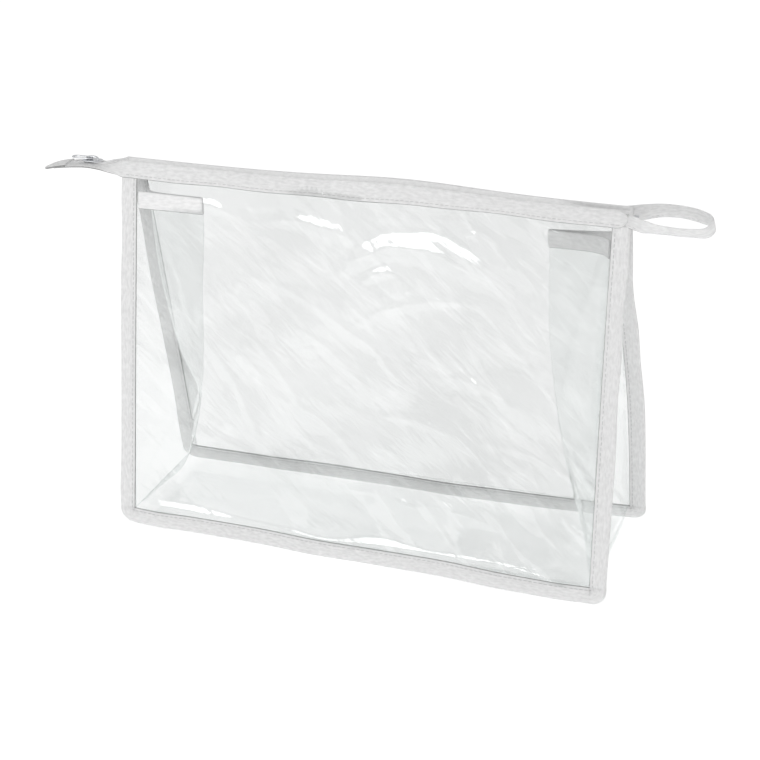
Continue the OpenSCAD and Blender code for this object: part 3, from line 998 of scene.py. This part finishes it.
def makeLeftLoop():
    # each strand carries its band on, turning from upright to flat; a folded tab joins them at the tip
    for side in (-1, 1):
        start = np.array([-0.1350])
        top = bandPoint(side, start, np.zeros(1), np.zeros(1))[0] / mm
        foot = bandPoint(side, start, np.ones(1), np.zeros(1))[0] / mm
        sink = 0.35 * side
        rows = [
            (*top, *foot), (-140.5, side * 4.4, 189.8, -140.0, side * 6.0, 183.9),
            (-145, side * 2.9, 188.9, -145.0, side * 6.4, 185.2 + sink),
            (-150, side * 1.5, 187.7, -150, side * 6.0, 186.0 + sink),
            (-157, side * 0.8, 187.2, -157, side * 5.9, 186.5 + sink),
            (-164, side * 0.6, 186.7, -164, side * 5.8, 186.0 + sink),
            (-171, side * 0.5, 185.7, -171, side * 5.5, 185.1 + sink),
            (-177, side * 0.4, 184.6, -177, side * 4.8, 184.0 + sink),
        ]
        name = "leftLoopFront" if side < 0 else "leftLoopBack"
        pieces = ribbon(name, rows, (1.7 * mm, 1.2 * mm, 1 * mm, 1 * mm), count=140)
        finish(pieces[0], "edge_tape", ["left_loop"])
        for piece in pieces:
            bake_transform(piece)
    rows = [
        (-170, 5.6, 186.2, -170, -5.6, 185.6), (-174, 5.5, 185.4, -174, -5.5, 184.8),
        (-178, 5.0, 184.4, -178, -5.0, 183.8),
        (-181.5, 3.8, 183.2, -181.5, -3.8, 182.7), (-184, 1.6, 182.1, -184, -1.6, 181.8),
    ]
    pieces = ribbon("leftLoopTab", rows, (1.6 * mm, 1.5 * mm), count=60)
    finish(pieces[0], "edge_tape")
    for piece in pieces:
        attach(piece, "root")


makeLeftLoop()
print("stage: loops")

# tape over the gussets' top edges

bar = {"thick": 1.3 * mm}


def gussetBar(end, half):
    # the folded tape follows the pleat's top, from a seam to the crease
    height = bag["barHigh"] - bag["barLow"]
    span = {-1: (0.012, 0.5), 1: (0.5, 0.988), 0: (0.012, 0.988)}[half]
    t = np.linspace(*span, 60 if half else 120)
    if half:
        t = np.clip(t, 0, 1) + (1e-6 if half > 0 else -1e-6)
    w, n = tapeProfile(20, bar["thick"])
    z = bag["barHigh"] - w * height
    line = pleat(end, np.full_like(t, bag["barHigh"] - height / 2), t, bow=0.3)
    direction = np.gradient(line, axis=0)
    direction[:, 2] = 0
    direction /= np.linalg.norm(direction, axis=1)[:, None]
    normal = np.stack([direction[:, 1], -direction[:, 0], 0 * direction[:, 0]], -1)
    zz, tt = np.meshgrid(z, t)
    base = pleat(end, zz, tt, bow=0.3)
    length = np.r_[0, np.cumsum(np.linalg.norm(np.diff(line, axis=0), axis=1))]
    thick = n[None, :] * stitchGroove(w[None, :], height) * puffs(length[:, None], w[None, :], height)
    rings = settle(base + thick[..., None] * normal[:, None])
    uv = np.stack(np.broadcast_arrays(length[:, None], w[None, :] * tapeCut), -1)
    name = {-1: "leftBarFront", 1: "leftBarBack", 0: "rightBar"}[half]
    piece = tubePiece(name, rings, uv)
    # the gusset tape takes the lightened copy of the binding cloth, painted light for the shade inside the
    # bag
    finish(piece, "edge_tape", ["left_gusset_binding" if end < 0 else "right_gusset_binding"], "gussetTapeLightened")
    return piece


for half in (-1, 1):
    pleatBlend(gussetBar(-1, half))
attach(gussetBar(1, 0), "root")
print("stage: gusset tape")

# slider, bail, puller and end stop

cast = {
    "power": 3.2, "rings": 26, "around": 28,
    "plate": 0.7 * mm, "bailWire": 0.42 * mm, "tab": (0.62 * mm, 0.4 * mm),
}


def pebble(name, low, high, node, body):
    # a cast lump: |x|^p + |y|^p + |z|^p = 1 fitted to a box, as rings along x closed at both ends
    centre, half = (np.array(low) + high) / 2, (np.array(high) - low) / 2
    p = cast["power"]
    t = np.sin(np.linspace(-0.5, 0.5, cast["rings"]) * math.pi * 0.97)[:, None]
    a = np.linspace(0, 2 * math.pi, cast["around"], endpoint=False)[None, :]
    r = (1 - np.abs(t) ** p) ** (1 / p)
    y = r * np.sign(np.cos(a)) * np.abs(np.cos(a)) ** (2 / p)
    z = r * np.sign(np.sin(a)) * np.abs(np.sin(a)) ** (2 / p)
    rings = centre + half * np.stack(np.broadcast_arrays(t, y, z), -1)
    piece = tubePiece(name, rings)
    finish(piece, "metal", [node])
    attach(piece, body)
    return piece


def wireLoop(name, path, normal, wide, tall, node, body, closed=True):
    # an oval wire carried along a path: wide in the path's plane, tall along the plane's normal
    step = np.roll(path, -1, 0) - np.roll(path, 1, 0) if closed else np.gradient(path, axis=0)
    step /= np.linalg.norm(step, axis=1)[:, None]
    side = np.cross(step, normal)
    b = np.linspace(0, 2 * math.pi, 12, endpoint=False)
    flat, rise = wide * np.cos(b)[None, :, None], tall * np.sin(b)[None, :, None]
    rings = path[:, None] + flat * side[:, None] + rise * np.array(normal)
    piece = ringPiece(name, rings) if closed else tubePiece(name, rings)
    finish(piece, "metal", [node])
    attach(piece, body)
    return piece


def makeSlider():
    low, high = (np.array(c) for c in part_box("slider_body"))
    plate = cast["plate"]
    pebble("sliderTop", (low[0], low[1], high[2] - plate), high, "slider_body", "slider")
    pebble("sliderUnder", low, (high[0], high[1], low[2] + plate), "slider_body", "slider")
    nose = (low[0] + 0.4 * mm, -0.5 * mm, low[2] + 0.3 * mm)
    pebble("sliderNose", nose, (low[0] + 2.4 * mm, 0.5 * mm, high[2] - 0.3 * mm), "slider_body", "slider")
    # the bail is an arch over the top plate: height times (1 - |x|^3) along its length
    low, high = (np.array(c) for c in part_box("slider_bail"))
    t = np.linspace(-1, 1, 40)
    x = (low[0] + high[0]) / 2 + t * ((high[0] - low[0]) / 2 - cast["bailWire"])
    z = low[2] - 0.3 * mm + (high[2] - low[2] + 0.3 * mm - cast["bailWire"]) * (1 - np.abs(t) ** 4) ** 0.6
    arch = np.stack([x, 0 * x, z], -1)
    wireLoop("sliderBail", arch, (0, 1, 0), cast["bailWire"], 0.75 * mm,
             "slider_bail", "slider", closed=False)


def makePuller():
    # a flat ring with round ends: x = sign(cos) |cos|^0.75, y = sign(sin) |sin|^0.75,
    # narrowing to the bail's end
    low, high = (np.array(c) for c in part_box("puller"))
    centre, half = (low + high) / 2, (high - low) / 2
    a = np.linspace(0, 2 * math.pi, 72, endpoint=False)
    wide, tall = cast["tab"]
    c, k = np.cos(a), np.sin(a)
    x = centre[0] + (half[0] - wide) * np.sign(c) * np.abs(c) ** 0.75
    y = (half[1] - wide) * np.sign(k) * np.abs(k) ** 0.75 * (1 - 0.18 * c)
    ring = np.stack([x, y, centre[2] + 0 * x], -1)
    wireLoop("pullerRing", ring, (0, 0, 1), wide, tall, "puller", "puller")


makeSlider()
makePuller()
low, high = (np.array(c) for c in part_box("end_stop"))
pebble("endStop", low, (high[0], high[1], high[2] - 0.2 * mm), "end_stop", "root")


# camera, floor and lights

view = {"azimuth": 20.36, "elevation": 23.64, "roll": -0.83, "distance": 1.0019,
        "target": (3.02 * mm, 0, 75.88 * mm + 8.5 * mm), "lens": 91.22}


def makeCamera():
    a, e, r = (math.radians(view[k]) for k in ("azimuth", "elevation", "roll"))
    back = np.array([math.sin(a) * math.cos(e), -math.cos(a) * math.cos(e), math.sin(e)])
    right = np.cross(-back, [0, 0, 1])
    right /= np.linalg.norm(right)
    up = np.cross(right, -back)
    right, up = math.cos(r) * right + math.sin(r) * up, -math.sin(r) * right + math.cos(r) * up
    place = np.array(view["target"]) + back * view["distance"]
    lens = bpy.data.cameras.new("camera")
    lens.lens = view["lens"]
    lens.sensor_width = 36
    camera = bpy.data.objects.new("camera", lens)
    camera.matrix_world = standAt(right, up, back, place)
    bpy.context.scene.collection.objects.link(camera)
    bpy.context.scene.camera = camera


studio = {"world": 0.66, "floor": (0.93, 0.93, 0.93), "floorGlow": 0.42}

# each softbox: place, where it points, width, height, brightness
softboxes = {
    "key": ((-1.1, -1.5, 1.5), (0, 0, 0.1), 1.0, 1.0, 2.3),
    "streak": ((-0.62, -1.75, 0.64), (0, 0, 0.12), 0.62, 0.3, 5.0),
    "side": ((1.6, -0.3, 0.9), (0, 0, 0.1), 0.6, 0.9, 1.0),
}


def makeStudio():
    world = bpy.data.worlds.new("studio")
    world.use_nodes = True
    sky = world.node_tree.nodes["Background"]
    sky.inputs[0].default_value = (1, 1, 1, 1)
    sky.inputs[1].default_value = studio["world"]
    bpy.context.scene.world = world
    reach = 6
    corners = [(-reach, -reach, 0), (reach, -reach, 0), (reach, reach, 0), (-reach, reach, 0)]
    floor = makeMesh("studioFloor", corners, [(0, 1, 2, 3)])
    material, tree, shader, out = newMaterial("paleFloor")
    shader.inputs["Base Color"].default_value = (*studio["floor"], 1)
    shader.inputs["Roughness"].default_value = 0.9
    shader.inputs["Emission Color"].default_value = (1, 1, 1, 1)
    shader.inputs["Emission Strength"].default_value = studio["floorGlow"]
    floor.data.materials.append(material)
    for name, (place, aim, width, height, bright) in softboxes.items():
        lamp = bpy.data.lights.new(name, "AREA")
        lamp.shape = "RECTANGLE"
        lamp.size, lamp.size_y = width, height
        lamp.energy = bright * math.pi * width * height
        box = bpy.data.objects.new(name, lamp)
        back = np.array(place, float) - np.array(aim, float)
        back /= np.linalg.norm(back)
        right = np.cross([0, 0, 1], back)
        right /= np.linalg.norm(right)
        up = np.cross(back, right)
        box.matrix_world = standAt(right, up, back, place)
        bpy.context.scene.collection.objects.link(box)
    settings = bpy.context.scene
    settings.view_settings.view_transform = "Standard"
    settings.cycles.transparent_max_bounces = 32


makeCamera()
makeStudio()
print("stage: studio")
